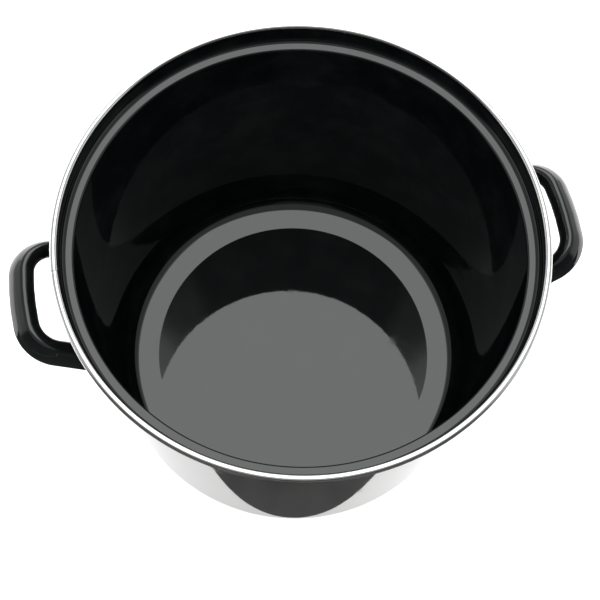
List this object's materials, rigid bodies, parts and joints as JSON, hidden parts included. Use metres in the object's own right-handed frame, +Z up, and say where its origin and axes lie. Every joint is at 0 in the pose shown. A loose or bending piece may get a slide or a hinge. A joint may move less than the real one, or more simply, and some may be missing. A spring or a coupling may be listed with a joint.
{
  "type": "water bath canner",
  "caption": "Deep open pot for heating sealed jars under water, with a lid ledge, a bright rim band and a loop handle on each side.",
  "frame": {"origin": "centre of the underside of the base", "axes": "+Z up along the pot's axis, +X through the middle of the right-hand handle"},
  "size_m": [0.4166, 0.3426, 0.2695],
  "materials": {
    "pot_enamel": "gloss black vitreous enamel, inside and out",
    "band_steel": "polished stainless steel strip",
    "handle_enamel": "gloss black vitreous enamel"
  },
  "bodies": {
    "root": {"pot_shell": "pot_enamel", "rim_band": "band_steel", "left_handle": "handle_enamel", "right_handle": "handle_enamel", "left_handle_welds": "handle_enamel", "right_handle_welds": "handle_enamel"}
  },
  "joints": []
}
